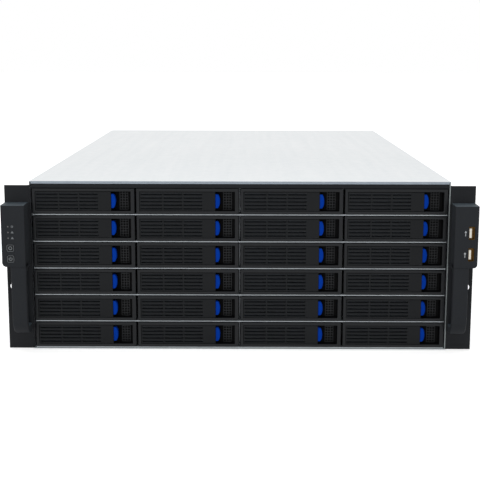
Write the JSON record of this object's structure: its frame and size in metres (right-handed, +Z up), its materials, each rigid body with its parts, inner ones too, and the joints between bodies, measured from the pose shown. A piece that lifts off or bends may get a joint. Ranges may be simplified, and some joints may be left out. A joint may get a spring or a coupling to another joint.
{
  "type": "rackmount server case",
  "caption": "Four-unit rackmount server case with a bright steel body, black rack ears with moulded handles and front hot-swap drive trays with slotted hinged levers.",
  "frame": {"origin": "middle of the case footprint, on the underside of the floor", "axes": "+X to the right seen from the front, +Y from the front to the back, +Z up"},
  "size_m": [0.4826, 0.712, 0.177],
  "materials": {
    "galvanised": "bright galvanised sheet",
    "black_paint": "fine-textured black paint",
    "tray_black": "matt black moulding on a black carrier",
    "black_plastic": "matt black moulding",
    "button_plastic": "satin black key",
    "circuit_board": "green lacquered board",
    "fan_black": "black moulded fan"
  },
  "bodies": {
    "case": {"chassis": "galvanised", "drive_cage": "galvanised", "front_frame": "black_paint", "ear_handles": "black_plastic", "backplanes": "circuit_board", "fan_wall": "fan_black"},
    "top_cover": {"top_cover": "galvanised"},
    "power_button": {"power_button": "button_plastic"},
    "reset_button": {"reset_button": "button_plastic"},
    "fan_rotor_1": {"fan_rotor_1": "fan_black"},
    "fan_rotor_2": {"fan_rotor_2": "fan_black"},
    "fan_rotor_3": {"fan_rotor_3": "fan_black"},
    "tray_r1c1": {"tray_r1c1": "tray_black"},
    "tray_r1c2": {"tray_r1c2": "tray_black"},
    "tray_r1c3": {"tray_r1c3": "tray_black"},
    "tray_r1c4": {"tray_r1c4": "tray_black"},
    "tray_r2c1": {"tray_r2c1": "tray_black"},
    "tray_r2c2": {"tray_r2c2": "tray_black"},
    "tray_r2c3": {"tray_r2c3": "tray_black"},
    "tray_r2c4": {"tray_r2c4": "tray_black"},
    "tray_r3c1": {"tray_r3c1": "tray_black"},
    "tray_r3c2": {"tray_r3c2": "tray_black"},
    "tray_r3c3": {"tray_r3c3": "tray_black"},
    "tray_r3c4": {"tray_r3c4": "tray_black"},
    "tray_r4c1": {"tray_r4c1": "tray_black"},
    "tray_r4c2": {"tray_r4c2": "tray_black"},
    "tray_r4c3": {"tray_r4c3": "tray_black"},
    "tray_r4c4": {"tray_r4c4": "tray_black"},
    "tray_r5c1": {"tray_r5c1": "tray_black"},
    "tray_r5c2": {"tray_r5c2": "tray_black"},
    "tray_r5c3": {"tray_r5c3": "tray_black"},
    "tray_r5c4": {"tray_r5c4": "tray_black"},
    "tray_r6c1": {"tray_r6c1": "tray_black"},
    "tray_r6c2": {"tray_r6c2": "tray_black"},
    "tray_r6c3": {"tray_r6c3": "tray_black"},
    "tray_r6c4": {"tray_r6c4": "tray_black"},
    "lever_r1c1": {"lever_r1c1": "black_plastic"},
    "lever_r1c2": {"lever_r1c2": "black_plastic"},
    "lever_r1c3": {"lever_r1c3": "black_plastic"},
    "lever_r1c4": {"lever_r1c4": "black_plastic"},
    "lever_r2c1": {"lever_r2c1": "black_plastic"},
    "lever_r2c2": {"lever_r2c2": "black_plastic"},
    "lever_r2c3": {"lever_r2c3": "black_plastic"},
    "lever_r2c4": {"lever_r2c4": "black_plastic"},
    "lever_r3c1": {"lever_r3c1": "black_plastic"},
    "lever_r3c2": {"lever_r3c2": "black_plastic"},
    "lever_r3c3": {"lever_r3c3": "black_plastic"},
    "lever_r3c4": {"lever_r3c4": "black_plastic"},
    "lever_r4c1": {"lever_r4c1": "black_plastic"},
    "lever_r4c2": {"lever_r4c2": "black_plastic"},
    "lever_r4c3": {"lever_r4c3": "black_plastic"},
    "lever_r4c4": {"lever_r4c4": "black_plastic"},
    "lever_r5c1": {"lever_r5c1": "black_plastic"},
    "lever_r5c2": {"lever_r5c2": "black_plastic"},
    "lever_r5c3": {"lever_r5c3": "black_plastic"},
    "lever_r5c4": {"lever_r5c4": "black_plastic"},
    "lever_r6c1": {"lever_r6c1": "black_plastic"},
    "lever_r6c2": {"lever_r6c2": "black_plastic"},
    "lever_r6c3": {"lever_r6c3": "black_plastic"},
    "lever_r6c4": {"lever_r6c4": "black_plastic"}
  },
  "joints": [
    {"name": "button_power_press", "type": "slide", "parent": "case", "child": "power_button", "axis": [0, 1, 0], "range_m": [0, 0.0015], "stiffness_N_per_m": 400, "springref_m": -0.002},
    {"name": "button_reset_press", "type": "slide", "parent": "case", "child": "reset_button", "axis": [0, 1, 0], "range_m": [0, 0.0015], "stiffness_N_per_m": 400, "springref_m": -0.002},
    {"name": "cover_slide", "type": "slide", "parent": "case", "child": "top_cover", "axis": [0, 1, 0], "range_m": [0, 0.69]},
    {"name": "drawer_r2c2", "type": "slide", "parent": "case", "child": "tray_r2c2", "axis": [0, -1, 0], "range_m": [0, 0.18]},
    {"name": "lever_r2c2", "type": "hinge", "parent": "tray_r2c2", "child": "lever_r2c2", "pos_m": [-0.09445, -0.3299, 0.12825], "axis": [0, 0, -1], "range_deg": [0, 75]},
    {"name": "fan_1_spin", "type": "hinge", "parent": "case", "child": "fan_rotor_1", "pos_m": [-0.1386, -0.0863, 0.0852], "axis": [0, 1, 0], "continuous": true},
    {"name": "fan_2_spin", "type": "hinge", "parent": "case", "child": "fan_rotor_2", "pos_m": [0, -0.0863, 0.0852], "axis": [0, 1, 0], "continuous": true},
    {"name": "fan_3_spin", "type": "hinge", "parent": "case", "child": "fan_rotor_3", "pos_m": [0.1386, -0.0863, 0.0852], "axis": [0, 1, 0], "continuous": true},
    {"name": "drawer_r1c1", "type": "slide", "parent": "case", "child": "tray_r1c1", "axis": [0, -1, 0], "range_m": [0, 0.18]},
    {"name": "lever_r1c1", "type": "hinge", "parent": "tray_r1c1", "child": "lever_r1c1", "pos_m": [-0.20125, -0.3299, 0.15635], "axis": [0, 0, -1], "range_deg": [0, 75]},
    {"name": "drawer_r1c2", "type": "slide", "parent": "case", "child": "tray_r1c2", "axis": [0, -1, 0], "range_m": [0, 0.18]},
    {"name": "lever_r1c2", "type": "hinge", "parent": "tray_r1c2", "child": "lever_r1c2", "pos_m": [-0.09445, -0.3299, 0.15635], "axis": [0, 0, -1], "range_deg": [0, 75]},
    {"name": "drawer_r1c3", "type": "slide", "parent": "case", "child": "tray_r1c3", "axis": [0, -1, 0], "range_m": [0, 0.18]},
    {"name": "lever_r1c3", "type": "hinge", "parent": "tray_r1c3", "child": "lever_r1c3", "pos_m": [0.01235, -0.3299, 0.15635], "axis": [0, 0, -1], "range_deg": [0, 75]},
    {"name": "drawer_r1c4", "type": "slide", "parent": "case", "child": "tray_r1c4", "axis": [0, -1, 0], "range_m": [0, 0.18]},
    {"name": "lever_r1c4", "type": "hinge", "parent": "tray_r1c4", "child": "lever_r1c4", "pos_m": [0.11915, -0.3299, 0.15635], "axis": [0, 0, -1], "range_deg": [0, 75]},
    {"name": "drawer_r2c1", "type": "slide", "parent": "case", "child": "tray_r2c1", "axis": [0, -1, 0], "range_m": [0, 0.18]},
    {"name": "lever_r2c1", "type": "hinge", "parent": "tray_r2c1", "child": "lever_r2c1", "pos_m": [-0.20125, -0.3299, 0.12825], "axis": [0, 0, -1], "range_deg": [0, 75]},
    {"name": "drawer_r2c3", "type": "slide", "parent": "case", "child": "tray_r2c3", "axis": [0, -1, 0], "range_m": [0, 0.18]},
    {"name": "lever_r2c3", "type": "hinge", "parent": "tray_r2c3", "child": "lever_r2c3", "pos_m": [0.01235, -0.3299, 0.12825], "axis": [0, 0, -1], "range_deg": [0, 75]},
    {"name": "drawer_r2c4", "type": "slide", "parent": "case", "child": "tray_r2c4", "axis": [0, -1, 0], "range_m": [0, 0.18]},
    {"name": "lever_r2c4", "type": "hinge", "parent": "tray_r2c4", "child": "lever_r2c4", "pos_m": [0.11915, -0.3299, 0.12825], "axis": [0, 0, -1], "range_deg": [0, 75]},
    {"name": "drawer_r3c1", "type": "slide", "parent": "case", "child": "tray_r3c1", "axis": [0, -1, 0], "range_m": [0, 0.18]},
    {"name": "lever_r3c1", "type": "hinge", "parent": "tray_r3c1", "child": "lever_r3c1", "pos_m": [-0.20125, -0.3299, 0.10015], "axis": [0, 0, -1], "range_deg": [0, 75]},
    {"name": "drawer_r3c2", "type": "slide", "parent": "case", "child": "tray_r3c2", "axis": [0, -1, 0], "range_m": [0, 0.18]},
    {"name": "lever_r3c2", "type": "hinge", "parent": "tray_r3c2", "child": "lever_r3c2", "pos_m": [-0.09445, -0.3299, 0.10015], "axis": [0, 0, -1], "range_deg": [0, 75]},
    {"name": "drawer_r3c3", "type": "slide", "parent": "case", "child": "tray_r3c3", "axis": [0, -1, 0], "range_m": [0, 0.18]},
    {"name": "lever_r3c3", "type": "hinge", "parent": "tray_r3c3", "child": "lever_r3c3", "pos_m": [0.01235, -0.3299, 0.10015], "axis": [0, 0, -1], "range_deg": [0, 75]},
    {"name": "drawer_r3c4", "type": "slide", "parent": "case", "child": "tray_r3c4", "axis": [0, -1, 0], "range_m": [0, 0.18]},
    {"name": "lever_r3c4", "type": "hinge", "parent": "tray_r3c4", "child": "lever_r3c4", "pos_m": [0.11915, -0.3299, 0.10015], "axis": [0, 0, -1], "range_deg": [0, 75]},
    {"name": "drawer_r4c1", "type": "slide", "parent": "case", "child": "tray_r4c1", "axis": [0, -1, 0], "range_m": [0, 0.18]},
    {"name": "lever_r4c1", "type": "hinge", "parent": "tray_r4c1", "child": "lever_r4c1", "pos_m": [-0.20125, -0.3299, 0.07205], "axis": [0, 0, -1], "range_deg": [0, 75]},
    {"name": "drawer_r4c2", "type": "slide", "parent": "case", "child": "tray_r4c2", "axis": [0, -1, 0], "range_m": [0, 0.18]},
    {"name": "lever_r4c2", "type": "hinge", "parent": "tray_r4c2", "child": "lever_r4c2", "pos_m": [-0.09445, -0.3299, 0.07205], "axis": [0, 0, -1], "range_deg": [0, 75]},
    {"name": "drawer_r4c3", "type": "slide", "parent": "case", "child": "tray_r4c3", "axis": [0, -1, 0], "range_m": [0, 0.18]},
    {"name": "lever_r4c3", "type": "hinge", "parent": "tray_r4c3", "child": "lever_r4c3", "pos_m": [0.01235, -0.3299, 0.07205], "axis": [0, 0, -1], "range_deg": [0, 75]},
    {"name": "drawer_r4c4", "type": "slide", "parent": "case", "child": "tray_r4c4", "axis": [0, -1, 0], "range_m": [0, 0.18]},
    {"name": "lever_r4c4", "type": "hinge", "parent": "tray_r4c4", "child": "lever_r4c4", "pos_m": [0.11915, -0.3299, 0.07205], "axis": [0, 0, -1], "range_deg": [0, 75]},
    {"name": "drawer_r5c1", "type": "slide", "parent": "case", "child": "tray_r5c1", "axis": [0, -1, 0], "range_m": [0, 0.18]},
    {"name": "lever_r5c1", "type": "hinge", "parent": "tray_r5c1", "child": "lever_r5c1", "pos_m": [-0.20125, -0.3299, 0.04395], "axis": [0, 0, -1], "range_deg": [0, 75]},
    {"name": "drawer_r5c2", "type": "slide", "parent": "case", "child": "tray_r5c2", "axis": [0, -1, 0], "range_m": [0, 0.18]},
    {"name": "lever_r5c2", "type": "hinge", "parent": "tray_r5c2", "child": "lever_r5c2", "pos_m": [-0.09445, -0.3299, 0.04395], "axis": [0, 0, -1], "range_deg": [0, 75]},
    {"name": "drawer_r5c3", "type": "slide", "parent": "case", "child": "tray_r5c3", "axis": [0, -1, 0], "range_m": [0, 0.18]},
    {"name": "lever_r5c3", "type": "hinge", "parent": "tray_r5c3", "child": "lever_r5c3", "pos_m": [0.01235, -0.3299, 0.04395], "axis": [0, 0, -1], "range_deg": [0, 75]},
    {"name": "drawer_r5c4", "type": "slide", "parent": "case", "child": "tray_r5c4", "axis": [0, -1, 0], "range_m": [0, 0.18]},
    {"name": "lever_r5c4", "type": "hinge", "parent": "tray_r5c4", "child": "lever_r5c4", "pos_m": [0.11915, -0.3299, 0.04395], "axis": [0, 0, -1], "range_deg": [0, 75]},
    {"name": "drawer_r6c1", "type": "slide", "parent": "case", "child": "tray_r6c1", "axis": [0, -1, 0], "range_m": [0, 0.18]},
    {"name": "lever_r6c1", "type": "hinge", "parent": "tray_r6c1", "child": "lever_r6c1", "pos_m": [-0.20125, -0.3299, 0.01585], "axis": [0, 0, -1], "range_deg": [0, 75]},
    {"name": "drawer_r6c2", "type": "slide", "parent": "case", "child": "tray_r6c2", "axis": [0, -1, 0], "range_m": [0, 0.18]},
    {"name": "lever_r6c2", "type": "hinge", "parent": "tray_r6c2", "child": "lever_r6c2", "pos_m": [-0.09445, -0.3299, 0.01585], "axis": [0, 0, -1], "range_deg": [0, 75]},
    {"name": "drawer_r6c3", "type": "slide", "parent": "case", "child": "tray_r6c3", "axis": [0, -1, 0], "range_m": [0, 0.18]},
    {"name": "lever_r6c3", "type": "hinge", "parent": "tray_r6c3", "child": "lever_r6c3", "pos_m": [0.01235, -0.3299, 0.01585], "axis": [0, 0, -1], "range_deg": [0, 75]},
    {"name": "drawer_r6c4", "type": "slide", "parent": "case", "child": "tray_r6c4", "axis": [0, -1, 0], "range_m": [0, 0.18]},
    {"name": "lever_r6c4", "type": "hinge", "parent": "tray_r6c4", "child": "lever_r6c4", "pos_m": [0.11915, -0.3299, 0.01585], "axis": [0, 0, -1], "range_deg": [0, 75]}
  ]
}
